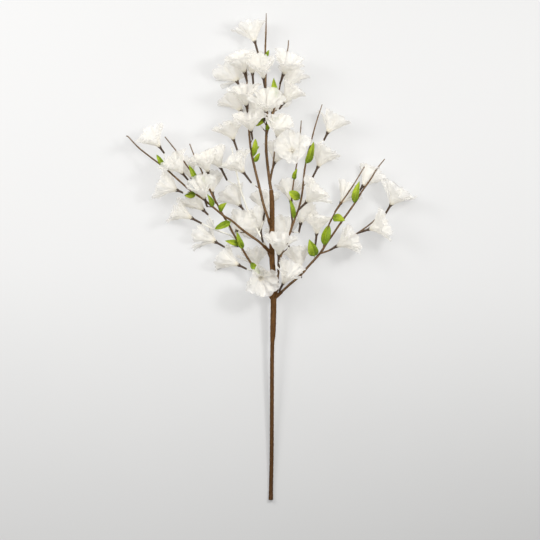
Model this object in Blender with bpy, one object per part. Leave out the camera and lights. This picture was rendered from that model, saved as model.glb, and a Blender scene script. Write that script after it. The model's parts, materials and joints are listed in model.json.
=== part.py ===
"""White forsythia spray, lying on its side: a taped main stem, seven leafy twigs and their fabric blooms.

Lengths in the tables are millimetres. X runs across the spray, Y from the cut end to the tip, and Z up from
the surface that it lies on. Blender's own unit is the metre, so the builders multiply by MM.
"""
import math
import random

import bmesh
import bpy
from mathutils import Matrix, Vector

MM = 0.001
GAP = 0.3                   # air between a seated piece and its seat

# Main stem
STEM_SIDES = 9
STEM_STEP = 34.0
ARM_SIDES = 7
ARM_STEP = 9.0
ARM_WALL = 0.7              # how much thicker the tape makes a twig's foot
ARM_MOUTH = 4.0             # straight stretch of tape in front of each twig

# Twigs, stalks and cups
TWIG_SIDES = 6
TWIG_STEP = 19.0
ROUTE_STEP = 2.0            # spacing of the points among which a stalk finds its root
STALK_SIDES = 5
STALK_ROOT_RADIUS = 1.1
STALK_FOOT_RADIUS = 1.2
CUP_NECK_RADIUS = 1.5
CUP_LIP_RADIUS = 2.5
CUP_LIP_LENGTH = 3.5
STALK_SET_BACK = 9.0        # how far below a bloom's foot its stalk leaves the twig, at least
STALK_STEP = 9.0

# Blooms
PETALS = 4
PETAL_THICKNESS = 0.8
HUB_RADIUS = 2.0
PETAL_WIDTH = 23.0
PETAL_ROWS = (0.36, 0.70, 0.94)
PETAL_COLUMNS = (-1.0, 0.0, 1.0)
PETAL_END = 0.80            # where along a petal its round end starts
PETAL_FLARE = 24.0          # degrees by which a petal opens further between its base and its tip
PETAL_CUP = 0.28            # how far a petal's edges curl towards the bloom's axis, over its half width
PETAL_WAVE = 1.8
PETAL_CROWD = 0.62          # most of a petal's half width, over its distance from the bloom's axis

# Leaves
LEAF_THICKNESS = 0.8
LEAF_ROWS = (0.0, 0.22, 0.5, 0.78)
LEAF_FOLD = 0.22            # how far the leaf's edges stand above its rib, over its half width
LEAF_ARCH = 0.10            # rise of the leaf's middle, over its length

# Colours, roughness
BARK_TAPE = (0.19, 0.085, 0.032), 0.75
BARK_TWIG = (0.12, 0.075, 0.045), 0.7
PETAL_WHITE = (0.86, 0.86, 0.83), 0.85

# Route of the taped stem: x, y, z of its middle and its radius, from the cut end to the leader's foot
MAIN_STEM = [
    (-2, -399, 3.48, 3.7), (-1.5, -372, 3.1, 3.3), (-0.5, -312, 7, 3.2), (0, -187, 15, 3.2),
    (0.5, -143, 17.5, 3.2), (1.5, -122, 19, 4.4), (2.5, -74, 22.5, 4.7), (2, -30, 26, 4.5),
    (0, 0, 28, 4.4), (0, 43, 31, 4.2), (0, 87, 34, 3.9),
]

# Routes of the twigs, foot first: x, y, z and radius. A foot stands on the end of its arm of the main stem,
# or, for a side twig, inside the twig that it grows from.
TWIGS = {
    "leader_twig": [
        [(-1.8, 112, 35.2, 2.6), (-6, 141, 36.5, 2.4), (-9.5, 177, 38, 2.3), (-9, 210, 39, 2.1),
         (-8, 232, 39.5, 2.0), (-10.5, 260, 40, 1.9), (-10.5, 308, 41, 1.7), (-11, 338, 41, 1.5),
         (-10, 369, 41, 1.3), (-9.5, 400, 41, 0.6)],
        [(-3.2, 122, 35.6, 1.4), (1, 148, 40, 1.4), (4, 172, 46, 1.3), (6.5, 186, 49, 1.3)],
        [(-8.4, 203, 38.6, 1.5), (-3, 225, 39, 1.5), (2, 239, 39, 1.4), (7, 254, 39, 1.4),
         (11, 272, 38, 1.3), (16, 297, 36, 1.2), (22, 325, 36, 1.1), (26, 343, 37, 1.0), (27, 356, 37, 0.9)],
    ],
    "inner_left_twig": [
        [(-6, 64, 42, 2.1), (-13, 84, 45, 2.1), (-21, 117, 46, 2.1), (-29.5, 152, 46, 2.0),
         (-34.5, 177, 45, 1.8), (-37, 200, 43, 1.7), (-39.5, 233, 40, 1.6), (-40, 259, 38, 1.5),
         (-41, 289, 36, 1.3), (-43, 315, 35, 1.1), (-44, 335, 35, 0.9)],
    ],
    "left_twig": [
        [(-14, 20, 37.5, 2.0), (-23, 28, 38.5, 2.0), (-39, 39, 40, 2.0), (-52, 49, 40.5, 1.9),
         (-66, 61, 41, 1.8), (-79, 69, 41, 1.8), (-95, 82, 40, 1.7), (-111, 95, 39, 1.7),
         (-134, 111, 37, 1.6), (-156, 130, 35, 1.5), (-175, 147, 33, 1.4), (-200, 166, 30, 1.3),
         (-220, 182, 27, 1.2), (-236, 199, 25, 1.0), (-239, 200, 26.5, 0.8)],
        [(-107, 92, 39, 1.3), (-114, 108, 41, 1.3), (-125, 131, 43, 1.3), (-138, 149, 43, 1.2),
         (-152, 169, 42, 1.1), (-175, 198, 40, 0.9)],
    ],
    "lower_left_twig": [
        [(-9.5, -52, 22.5, 2.1), (-15, -43, 22.8, 2.0), (-23, -30, 24, 1.9), (-33, -11, 26, 1.9), (-43, 5, 28, 1.8),
         (-52, 21, 29.5, 1.8), (-64, 41, 31, 1.7), (-72, 57, 32, 1.7), (-79, 68, 32.5, 1.6),
         (-88, 85, 32, 1.5), (-98, 103, 31, 1.5), (-108, 126, 30, 1.4), (-118, 148, 29, 1.2),
         (-125, 161, 28, 1.1), (-135, 187, 27, 0.9)],
        [(-50, 17, 29, 1.3), (-67, 36, 25, 1.3), (-92, 46, 23, 1.2), (-113, 55, 21, 1.1)],
    ],
    "back_left_twig": [
        [(-6, 10, 21, 1.9), (-16, 30, 19, 1.8), (-31, 59, 18, 1.7), (-43, 87, 18, 1.6),
         (-52, 115, 19, 1.5), (-59, 144, 20, 1.3), (-63, 164, 21, 1.1), (-66, 182, 22, 0.9)],
    ],
    "inner_right_twig": [
        [(8.5, -46, 30.5, 2.0), (9.5, -30, 33, 2.0), (12, -10, 35, 2.0), (15, 5, 36, 1.9), (23, 25, 37, 1.9),
         (30, 43, 38, 1.8), (38, 66, 39, 1.7), (44, 82, 40, 1.7), (49, 104, 40, 1.6), (53, 141, 39, 1.5),
         (57, 164, 38, 1.4), (62, 182, 37, 1.3), (69, 210, 36, 1.1), (75, 230, 36, 1.0), (82, 251, 36, 0.8)],
        [(29, 41, 37.8, 1.3), (33, 59, 33, 1.3), (32, 93, 28, 1.3), (36, 128, 27, 1.2), (43, 169, 27, 1.1),
         (46, 200, 28, 1.0), (48, 225, 29, 0.8)],
    ],
    "right_twig": [
        [(16.5, -55, 23.5, 2.1), (29.5, -43, 24.5, 2.0), (46, -29, 26, 2.0), (62, -11, 28, 1.9),
         (79, 8, 30, 1.9), (90, 25, 31, 1.8), (100, 39, 32, 1.7), (111.5, 56, 33, 1.7), (128, 79, 33, 1.6),
         (139, 95, 33, 1.5), (148, 110, 32, 1.4), (161, 128, 31, 1.3), (172, 146, 30, 1.1), (184.5, 162, 29, 0.9)],
        [(84, 15.5, 30.5, 1.3), (90, 46, 37, 1.3), (103, 74, 40, 1.2), (113, 90, 41, 1.2), (131, 116, 41, 1.1),
         (151, 149, 40, 0.9)],
        [(78, 7, 30, 1.5), (95, 13, 27, 1.5), (105, 20, 24, 1.4), (120, 28, 21, 1.4), (141, 41, 19, 1.3),
         (159, 54, 18, 1.2), (177, 69, 17, 1.2)],
    ],
}

# Arms of the main stem, where the tape runs out over each twig's foot: the point inside the stem it starts from
ARMS = {
    "inner_left_twig": (-1, 50, 32),
    "left_twig": (1, 6, 29),
    "lower_left_twig": (1, -68, 23),
    "back_left_twig": (0, -4, 27),
    "inner_right_twig": (4, -66, 24.5),
    "right_twig": (3, -67, 23),
}

# Blooms of each twig: foot and base of the cup as x, y, z, then the bloom's spin and opening in degrees, and
# the length of its petals. Each bloom is spun and raised so that its petals pass between its neighbours.
BLOOMS = {
    "leader_twig": [
        ((-23, 336, 36), (-28, 354, 33), 345, 30, 42),
        ((-30, 277, 30), (-32, 302, 16), 225, 22, 42),
        ((-11, 274, 46), (-14, 293, 59), 270, 26, 42),
        ((13, 285, 41), (19, 300, 49), 210, 30, 42),
        ((12, 244, 38), (19, 254, 39), 300, 22, 42),
        ((-25, 225, 30), (-26, 234, 15), 225, 26, 40),
        ((-3, 223, 34), (1, 238, 24), 270, 22, 40),
        ((-13, 223, 46), (-10, 239, 60), 75, 34, 42),
        ((6.5, 186, 49), (8.5, 198, 59), 30, 22, 42),
        ((21, 269, 29), (26, 281, 23), 10, 26, 40),
        ((-1, 141, 28), (4, 156, 22), 0, 30, 40),
    ],
    "inner_left_twig": [
        ((-41, 289, 38), (-45, 303, 44), 315, 30, 42),
        ((-52, 279, 32), (-57, 289, 24), 45, 38, 42),
        ((-43, 225, 31), (-51, 241, 24), 270, 30, 42),
        ((-39, 233, 42), (-42, 249, 49), 255, 30, 42),
        ((-34, 123, 50), (-46, 139, 54), 195, 30, 42),
        ((-32, 194, 50), (-34, 207, 55), 210, 34, 42),
    ],
    "left_twig": [
        ((-146, 107, 30), (-155, 111, 27), 345, 30, 42),
        ((-138, 128, 38), (-146, 138, 44), 285, 26, 42),
        ((-177, 172, 30), (-184, 182, 36), 45, 30, 42),
        ((-106, 84, 44), (-110, 97, 53), 255, 22, 42),
        ((-60, 42, 30), (-58, 44, 27), 165, 38, 38),
        ((-126, 118, 29), (-131, 131, 23), 255, 22, 40),
    ],
    "lower_left_twig": [
        ((-21, -29, 27), (-19, -32, 38), 10, 32, 40),
        ((-42, -18, 22), (-54, -12, 18), 15, 26, 42),
        ((-78, 18, 24), (-92, 26, 16), 180, 26, 42),
        ((-105, 71, 31), (-112, 78, 26), 120, 22, 42),
        ((-102, 131, 32), (-105, 141, 36), 165, 26, 38),
        ((-92, 90, 26), (-98, 107, 17), 0, 30, 40),
        ((-23, -30, 18), (-26, -16, 14), 0, 30, 38),
        ((-116, 57, 21), (-131, 65, 22), 300, 22, 42),
    ],
    "back_left_twig": [
        ((-15, 26, 24), (-19, 46, 14), 0, 26, 42),
        ((-43, 74, 17), (-52, 86, 11), 90, 26, 42),
        ((-74, 128, 20), (-84, 148, 15), 60, 26, 42),
        ((-56, 174, 26), (-63, 194, 30), 20, 33, 42),
        ((-14, 62, 17), (-13, 76, 11), 210, 30, 40),
    ],
    "inner_right_twig": [
        ((10, -20, 43), (11, 5, 53), 180, 30, 42),
        ((28, 18, 26), (23, 30, 17), 90, 30, 42),
        ((44, 79, 46), (56, 91, 50), 15, 30, 42),
        ((33, 62, 28), (31, 93, 17), 90, 26, 40),
        ((66, 131, 36), (75, 149, 32), 285, 30, 42),
        ((85, 193, 34), (91, 205, 33), 120, 30, 42),
        ((34, 170, 41), (33, 174, 51), 270, 38, 38),
        ((44, 42, 27), (47, 56, 18), 345, 26, 40),
    ],
    "right_twig": [
        ((12, -54, 31), (18, -42, 38), 225, 26, 42),
        ((48, -32, 22), (46, -17, 18), 105, 26, 42),
        ((71, 20, 31), (73, 39, 33), 240, 26, 40),
        ((103, 75, 38), (113, 90, 30), 165, 22, 40),
        ((139, 103, 28), (149, 118, 21), 30, 26, 42),
        ((95, 13, 27), (106, 19, 31), 45, 26, 42),
        ((141, 41, 23), (159, 47, 28), 195, 30, 42),
        ((186, 72, 17), (195, 87, 21), 70, 36, 46),
    ],
}

# Leaves of each twig: the point inside the twig that the leaf grows from, its tip and its width
LEAVES = {
    "leader_twig": [
        ((8, 260, 39), (3, 294, 47), 11), ((-10.8, 325, 41), (-5, 340, 46), 6),
        ((-8, 232, 39.5), (-27, 216, 44), 8), ((-9, 208, 39), (-5, 222, 45), 7),
        ((-4, 221, 39), (12, 230, 44), 8),
    ],
    "inner_left_twig": [
        ((-31.5, 163, 45.5), (-27, 194, 54), 9), ((-30, 156, 46), (-20, 171, 52), 8),
        ((-34, 175, 45), (-21, 182, 50), 8),
    ],
    "left_twig": [
        ((-176, 148, 33), (-189, 169, 40), 8), ((-123, 127, 43), (-136, 152, 51), 9),
        ((-124, 104, 38), (-143, 102, 45), 12), ((-96, 83, 40), (-106, 104, 47), 9),
        ((-86, 75, 40.5), (-74, 90, 46), 10), ((-66, 61, 41), (-93, 47, 47), 12),
    ],
    "lower_left_twig": [
        ((-107, 124, 30), (-115, 133, 36), 8), ((-47, 13, 28.5), (-58, 43, 36), 10),
        ((-52, 21, 29.5), (-77, 28, 34), 10), ((-36, -6, 26.5), (-14, -28, 33), 10),
    ],
    "inner_right_twig": [
        ((36, 128, 27), (41, 146, 36), 8), ((47, 96, 40), (28, 108, 50), 15),
        ((36, 62, 39), (29, 95, 46), 8), ((54, 152, 38.5), (68, 190, 47), 12),
    ],
    "right_twig": [
        ((85, 18, 30.5), (93, 54, 39), 15), ((70, 1, 29), (61, 30, 37), 17),
        ((98, 66, 39), (119, 61, 46), 14), ((134, 88, 33), (143, 125, 41), 12),
    ],
}


def clear_scene():
    for obj in list(bpy.data.objects):
        bpy.data.objects.remove(obj, do_unlink=True)


def material(name, look):
    colour, roughness = look
    made = bpy.data.materials.new(name)
    made.use_nodes = True
    shader = made.node_tree.nodes["Principled BSDF"]
    shader.inputs["Base Color"].default_value = (*colour, 1.0)
    shader.inputs["Roughness"].default_value = roughness
    shader.inputs["Metallic"].default_value = 0.0
    return made


def new_object(name, points, faces, look):
    """Mesh object from points in millimetres."""
    mesh = bpy.data.meshes.new(name)
    mesh.from_pydata([Vector(p) * MM for p in points], [], faces)
    mesh.validate()
    mesh.materials.append(material(name, look))
    obj = bpy.data.objects.new(name, mesh)
    bpy.context.scene.collection.objects.link(obj)
    return obj


def curve_through(route, step):
    """Points about a step apart on a smooth curve through the route's points, each with its radius."""
    knots = [Vector(p) for p in route]
    knots = [knots[0] * 2 - knots[1], *knots, knots[-1] * 2 - knots[-2]]
    smooth = []
    for a, b, c, d in zip(knots, knots[1:], knots[2:], knots[3:]):
        pieces = max(1, round((c.xyz - b.xyz).length / step))
        for i in range(pieces):
            t = i / pieces
            smooth.append(
                0.5 * (2 * b + (c - a) * t + (2 * a - 5 * b + 4 * c - d) * t**2 + (3 * b - a - 3 * c + d) * t**3)
            )
    return smooth + [knots[-2]]


def tube(name, route, sides, step, look):
    """Closed round tube along a route of x, y, z and radius, with one of its sides facing down."""
    line = curve_through(route, step) if step else [Vector(p) for p in route]
    points = []
    faces = [tuple(reversed(range(sides)))]
    across = None
    for i, here in enumerate(line):
        ahead = (line[min(i + 1, len(line) - 1)].xyz - line[max(i - 1, 0)].xyz).normalized()
        if across is None:
            across = ahead.cross(Vector((0, 0, 1))).normalized()
        across = (across - ahead * across.dot(ahead)).normalized()
        up = across.cross(ahead)
        for k in range(sides):
            turn = math.tau * ((k + 0.5) / sides - 0.25)
            points.append(here.xyz + (across * math.cos(turn) + up * math.sin(turn)) * here.w)
        if i:
            row = i * sides
            for k in range(sides):
                after = (k + 1) % sides
                faces.append((row - sides + k, row - sides + after, row + after, row + k))
    last = (len(line) - 1) * sides
    faces.append(tuple(range(last, last + sides)))
    obj = new_object(name, points, faces, look)
    face_outwards(obj)
    return obj


def face_outwards(obj):
    mesh = bmesh.new()
    mesh.from_mesh(obj.data)
    bmesh.ops.recalc_face_normals(mesh, faces=mesh.faces)
    mesh.to_mesh(obj.data)
    mesh.free()


def thick_sheet(name, points, faces, thickness, look):
    """Closed solid round a thin sheet of triangles, the same on both faces. What would reach below the surface
    that the spray lies on is pressed flat on it.
    """
    normals = [Vector() for _ in points]
    for face in faces:
        a, b, c = (points[i] for i in face)
        slant = (b - a).cross(c - a)
        for i in face:
            normals[i] += slant
    half = thickness / 2
    sides = []
    for sign in (1, -1):
        for point, normal in zip(points, normals):
            moved = point + normal.normalized() * half * sign
            if point.z < half:
                moved.z = thickness if normal.z * sign > 0 else 0.0
            sides.append(moved)
    count = len(points)
    solid = [tuple(face) for face in faces] + [tuple(i + count for i in reversed(face)) for face in faces]
    edges = {(face[i], face[(i + 1) % 3]) for face in faces for i in range(3)}
    for a, b in sorted(edges):
        if (b, a) not in edges:
            solid += [(b, a, a + count), (b, a + count, b + count)]
    return new_object(name, sides, solid, look)


def unite(obj, others):
    """Joins the others to the object with one union, and removes them."""
    if not others:
        return obj
    group = bpy.data.collections.new(obj.name + "_pieces")
    bpy.context.scene.collection.children.link(group)
    for other in others:
        bpy.context.scene.collection.objects.unlink(other)
        group.objects.link(other)
    join = obj.modifiers.new("join", "BOOLEAN")
    join.operation = "UNION"
    join.operand_type = "COLLECTION"
    join.collection = group
    joined = bpy.data.meshes.new_from_object(obj.evaluated_get(bpy.context.evaluated_depsgraph_get()))
    obj.modifiers.remove(join)
    obj.data = joined
    for other in others:
        bpy.data.objects.remove(other, do_unlink=True)
    bpy.data.collections.remove(group)
    return obj


def nearest_on(route, point):
    """Smooth line through a route and the index of its point that is nearest to a given one."""
    line = curve_through(route, ROUTE_STEP)
    return line, min(range(len(line)), key=lambda i: (line[i].xyz - point).length)


def seat(name):
    """End of the tape at a twig's foot: the last stretch of it, just short of the twig."""
    foot = Vector(TWIGS[name][0][0])
    ahead = (Vector(TWIGS[name][0][1]).xyz - foot.xyz).normalized()
    end = foot.xyz - ahead * GAP
    radius = foot.w + ARM_WALL
    return [(*(end - ahead * ARM_MOUTH), radius), (*end, radius - 0.3)]


def arm_route(name):
    return [(*ARMS[name], seat(name)[0][3]), *seat(name)]


def build_main_stem():
    """The taped stem, whose own end and whose arms each carry a twig."""
    stem = tube("main_stem", MAIN_STEM + seat("leader_twig"), STEM_SIDES, STEM_STEP, BARK_TAPE)
    arms = [tube("arm", arm_route(name), ARM_SIDES, ARM_STEP, BARK_TAPE) for name in ARMS]
    return unite(stem, arms)


def stalk_route(twig, foot, base):
    """Stalk and cup of a bloom: out of the nearest branch of its twig, through the foot, to the flared lip."""
    foot = Vector(foot)
    base = Vector(base)
    found = [nearest_on(branch, foot) for branch in TWIGS[twig]]
    line, place = min(found, key=lambda pair: (pair[0][pair[1]].xyz - foot).length)
    aside = (line[place].xyz - foot).length
    set_back = round(max(STALK_SET_BACK, aside) / ROUTE_STEP)
    root = line[max(place - set_back, 1)].xyz
    neck = base - (base - foot).normalized() * CUP_LIP_LENGTH
    route = [(*root, STALK_ROOT_RADIUS)]
    if (foot - root).length > STALK_STEP / 2:
        route.append((*foot, STALK_FOOT_RADIUS))
    line = curve_through([*route, (*neck, CUP_NECK_RADIUS)], STALK_STEP)
    return [*(tuple(point) for point in line), (*base, CUP_LIP_RADIUS)]


def leaf_blade(name, root, tip, width):
    """Pointed leaf with its halves folded up from the rib and its length arched."""
    root = Vector(root)
    tip = Vector(tip)
    along = tip - root
    length = along.length
    ahead = along.normalized()
    side = ahead.cross(Vector((0, 0, 1))).normalized()
    up = side.cross(ahead)
    points = []
    faces = []
    for row, t in enumerate(LEAF_ROWS):
        half = width / 2 * max(math.sin(math.pi * min(t * 0.92 + 0.08, 1.0)) ** 0.8, 0.16)
        middle = root + along * t + up * length * LEAF_ARCH * math.sin(math.pi * t)
        for u in (-1, 0, 1):
            points.append(middle + side * half * u + up * half * LEAF_FOLD * abs(u))
        if row:
            low = row * 3 - 3
            for c in (0, 1):
                faces.append((low + c, low + c + 1, low + c + 4))
                faces.append((low + c, low + c + 4, low + c + 3))
    points.append(tip)
    last = len(points) - 1
    faces.append((last - 3, last - 2, last))
    faces.append((last - 2, last - 1, last))
    return thick_sheet(name, points, faces, LEAF_THICKNESS, BARK_TWIG)


def build_twig(name):
    """One leafy twig: its branches, the stalks and cups of its blooms, and its leaves, in one solid."""
    first, *rest = TWIGS[name]
    twig = tube(name, first, TWIG_SIDES, TWIG_STEP, BARK_TWIG)
    others = [tube("branch", route, TWIG_SIDES, TWIG_STEP, BARK_TWIG) for route in rest]
    for foot, base, *_ in BLOOMS[name]:
        others.append(tube("stalk", stalk_route(name, foot, base), STALK_SIDES, 0, BARK_TWIG))
    for leaf in LEAVES.get(name, ()):
        others.append(leaf_blade("leaf", *leaf))
    return unite(twig, others)


def petal_half_width(v, width):
    """Half of a petal's width at v of its length: a narrow claw, widest past the middle, with a round end."""
    claw = HUB_RADIUS * 0.7 * (1 - v)
    blade = width / 2 * math.sin(math.pi * 0.62 * v**0.9) ** 0.8
    past = max(v - PETAL_END, 0) / (1 - PETAL_END)
    return (claw + blade) * math.sqrt(1 - past**2)


class Petal:
    """One petal of a bloom, with its own small differences of length, opening, twist and wave."""

    def __init__(self, draw, order, spin, opening, length):
        self.azimuth = math.radians(spin + 360 / PETALS * order + draw.uniform(-7, 7))
        self.low = math.radians(opening + draw.uniform(-4, 4))
        self.high = self.low + math.radians(PETAL_FLARE + draw.uniform(-8, 8))
        self.length = length * draw.uniform(0.93, 1.05)
        self.width = PETAL_WIDTH * draw.uniform(0.92, 1.08)
        self.twist = math.radians(draw.uniform(-16, 16))
        self.phase = draw.uniform(0, math.tau)

    def point(self, u, v):
        """Place on the petal in the bloom's own axes, with u across from -1 to 1 and v from base to tip."""
        bend = self.high - self.low
        angle = self.low + bend * v
        out = HUB_RADIUS + self.length * (math.cos(self.low) - math.cos(angle)) / bend
        along = self.length * (math.sin(angle) - math.sin(self.low)) / bend
        half = min(petal_half_width(v, self.width), out * PETAL_CROWD)
        turn = self.twist * v
        lift = half * PETAL_CUP * u * u + PETAL_WAVE * v * u * math.sin(self.phase + 4.2 * v)
        sideways = u * half * math.cos(turn) - lift * math.sin(turn)
        inward = u * half * math.sin(turn) + lift * math.cos(turn)
        out -= inward * math.cos(angle)
        along += inward * math.sin(angle)
        c = math.cos(self.azimuth)
        s = math.sin(self.azimuth)
        return Vector((out * c - sideways * s, out * s + sideways * c, along))


def bloom_axes(foot, base):
    """Axes of a bloom whose third axis runs on from its cup, seated just clear of the cup's lip."""
    ahead = (Vector(base) - Vector(foot)).normalized()
    side = ahead.cross(Vector((0, 0, 1))).normalized()
    up = side.cross(ahead)
    axes = Matrix((side, up, ahead)).transposed().to_4x4()
    axes.translation = Vector(base) + ahead * (GAP + PETAL_THICKNESS / 2)
    return axes


def build_bloom(name, foot, base, spin, opening, length):
    """Bloom cut from one piece of cloth: a small hub with its petals."""
    draw = random.Random(name)
    petals = [Petal(draw, k, spin, opening, length) for k in range(PETALS)]
    ring = 2 * PETALS
    points = [Vector((0, 0, 0))]
    for petal in petals:
        for offset in (0, 45):
            turn = math.radians(offset) + petal.azimuth
            points.append(Vector((HUB_RADIUS * math.cos(turn), HUB_RADIUS * math.sin(turn), 0)))
    faces = [(0, 1 + i, 1 + (i + 1) % ring) for i in range(ring)]
    for k, petal in enumerate(petals):
        row = [1 + (2 * k - 1) % ring, 1 + 2 * k, 2 + 2 * k]
        for v in PETAL_ROWS:
            start = len(points)
            for u in PETAL_COLUMNS:
                reach = 1.0 if v == PETAL_ROWS[-1] and u == 0 else v
                points.append(petal.point(u, reach))
            for c in (0, 1):
                faces.append((row[c], start + c, start + c + 1))
                faces.append((row[c], start + c + 1, row[c + 1]))
            row = [start, start + 1, start + 2]
    axes = bloom_axes(foot, base)
    placed = [axes @ p for p in points]
    return thick_sheet(name, placed, faces, PETAL_THICKNESS, PETAL_WHITE)


def main():
    clear_scene()
    build_main_stem()
    for twig in TWIGS:
        build_twig(twig)
        for number, bloom in enumerate(BLOOMS[twig], 1):
            build_bloom(f"{twig.removesuffix('_twig')}_bloom_{number}", *bloom)


main()
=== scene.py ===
"""Looks of the white forsythia spray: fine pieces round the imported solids, a pale floor, lights, a camera.

Lengths in the tables are millimetres, as in the solids. X runs across the spray, Y from the cut end to
the tip, and Z up from the board that it lies on. Blender's own unit is the metre, hence MM.
"""
import json
import math
import random
from collections import namedtuple

import bpy
from mathutils import Matrix, Vector, noise

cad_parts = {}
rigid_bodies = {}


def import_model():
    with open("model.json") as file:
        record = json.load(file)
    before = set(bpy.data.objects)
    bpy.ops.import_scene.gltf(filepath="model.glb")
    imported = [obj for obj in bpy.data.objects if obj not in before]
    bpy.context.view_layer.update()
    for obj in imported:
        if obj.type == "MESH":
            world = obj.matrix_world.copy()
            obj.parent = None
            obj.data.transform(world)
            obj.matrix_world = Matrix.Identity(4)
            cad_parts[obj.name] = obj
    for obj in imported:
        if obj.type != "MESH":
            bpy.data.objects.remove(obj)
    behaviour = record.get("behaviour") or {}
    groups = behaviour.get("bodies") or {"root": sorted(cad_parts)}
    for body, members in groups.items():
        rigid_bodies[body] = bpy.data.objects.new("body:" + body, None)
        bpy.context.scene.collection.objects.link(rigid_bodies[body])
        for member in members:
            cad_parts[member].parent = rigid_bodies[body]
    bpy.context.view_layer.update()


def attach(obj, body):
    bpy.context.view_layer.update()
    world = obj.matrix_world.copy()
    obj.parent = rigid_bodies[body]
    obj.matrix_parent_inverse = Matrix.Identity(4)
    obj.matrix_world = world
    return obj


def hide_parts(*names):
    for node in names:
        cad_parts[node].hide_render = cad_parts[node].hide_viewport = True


MM = 0.001
GAP = 0.3                   # air between a seated piece and its seat
UP = Vector((0, 0, 1))

# Camera, straight above the spray: the middle and width of what it sees, and its height
VIEW_MIDDLE = (-3.3, -19.7, 30.0)
VIEW_WIDTH = 885.6
CAMERA_HEIGHT = 4500.0
SENSOR_WIDTH = 36.0

# Lights: name, place, side of the square and watts
LIGHTS = [
    ("upper_left_window", (-1056, 624, 1032), 590, 13.5),
    ("upper_right_window", (640, 385, 950), 240, 9.2),
    ("overhead_cloth", (0, 900, 2000), 2000, 34.0),
]
SKY_COLOUR = (1.0, 1.0, 1.0)
SKY_STRENGTH = 0.26

# Board that the spray lies on. It is darker behind the crown, where more glow makes the shadows fainter
FLOOR_SIDE = 60000.0
FLOOR_COLOUR = (0.34, 0.339, 0.335)
FLOOR_BEHIND = (0.25, 0.249, 0.246)
FLOOR_MOTTLE = 1.012        # how much paler the board's faint mottle is
FLOOR_ROUGHNESS = 0.9
FLOOR_SHINE = 0.2
# It also glows a little from below. Places on the board are in metres here
GLOW_COLOUR = (1.0, 0.995, 0.988)
GLOW_LOW = -0.62, 0.195     # how far up the view, and the glow there
GLOW_HIGH = 0.04, 0.312
GLOW_ACROSS = 0.5, 0.045    # how far to either side, and how much the glow differs there: more at the left
# Added glow: where it starts, where it is whole, and how much. The last goes by distance from the middle
GLOW_BEHIND = -0.14, 0.06, 0.148
GLOW_PAST_END = -0.48, -0.85, 0.26
GLOW_FAR = 0.66, 2.0, 0.26

# Taped stem
TAPE_SIDES = 28
TAPE_STEP = 1.1
TAPE_PITCH = 10.5           # how far the tape moves on with each turn
TAPE_LIP = 0.28             # height of the tape's free edge over the turn before
TAPE_EDGE = 0.1             # share of the tape's width over which its free edge drops off
TAPE_CREASE = 0.16
TAPE_LAP = 0.14             # share of the tape's width with painted shade, beside the free edge over it
# darkness of the painted shade beside the free edge
TAPE_LAP_SHADE_TONE = 0.4
ARM_WALL = 0.7              # how much thicker the tape makes a twig's foot
ARM_MOUTH = 4.0             # straight stretch of tape before each twig
ARM_TAPER = 0.3             # how much thinner it gets over that stretch
# Ends of tubes: how far each ring stands out from the end, its share of the end's radius, and its tone
CUT_END = [(0.0, 0.80, 0.55), (-0.5, 0.78, 0.9), (-0.5, 0.5, 1.0)]
TAPE_END = [(0.0, 0.85, 0.3)]
TWIG_TIP = [(0.35, 0.86, 0.0), (0.6, 0.5, 0.0)]

# Twigs, stalks and cups. Tones run from bare tips over bark, at nought, and cups to pale wires and pegs
TIP_TONE = -0.3
CUP_TONE = 0.5
PALE_TONE = 1.0
BARK_SIDES = 14
BARK_STEP = 1.5
BARK_GRAIN = 0.10           # depth of the lengthwise grain
KNOT_SPACING = 25.0
KNOT_HEIGHT = 0.45
KNOT_LENGTH = 1.5
TIP_LENGTH = 60.0           # stretch over which a twig turns paler towards its tip
ROUTE_STEP = 2.0            # spacing of the points among which a stalk finds its root
STALK_SIDES = 12
STALK_STEP = 1.4
WIRE_RADIUS = 0.8
PALE_BRANCHES = [("back_left_twig", 0), ("lower_left_twig", 1)]     # bound in pale tape, and hardly seen
PALE_START = 2.0, 8.0       # stretch from its root over which the bark of such a branch turns pale
WIRE_CLEAR = 2.0, 5.0       # gap to the nearest branch, while the wire turns from bark to pale
SLEEVE_RADIUS = 1.55
SLEEVE_LIP = 1.2            # length over which a wire widens into the dark sleeve
STALK_SET_BACK = 9.0        # how far below a bloom's foot its stalk leaves the twig, at least
CUP_LIP_LENGTH = 3.5        # from the end of the stalk to the cup's lip
CUP_NECK_RADIUS = 1.9
# Cup, and the peg that holds the cloth: place along the axis from the lip, and radius
CUP_ROOT = (-4.0, 1.8)      # sunk in the end of the stalk
CUP_ROOT_TONE = 0.3
CUP_PROFILE = [
    (-2.8, 2.00), (-2.0, 2.20), (-1.2, 2.45), (-0.4, 2.72), (0.05, 2.85), (0.2, 2.70), (0.1, 2.40),
    (-0.5, 2.00), (-1.0, 1.30),
]
PEG_PROFILE = [(-1.0, 0.95), (1.3, 0.85), (2.0, 0.85), (2.2, 1.15), (2.7, 1.30), (3.2, 1.15), (3.5, 0.70)]
PEG_DOME = 0.15             # rise of the peg's end
SEPAL_ROWS = 5
SEPAL_COLUMNS = 4
SEPAL_REACH = 0.06          # how far up a petal its sepal reaches
SEPAL_HALF_WIDTH = 1.3
SEPAL_OFFSET = 0.55         # how far a sepal's root lies behind the petal's middle surface
SEPAL_SPREAD = 0.25         # how much further behind it the sepal's tip lies
SEPAL_THICKNESS = 0.35

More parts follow.
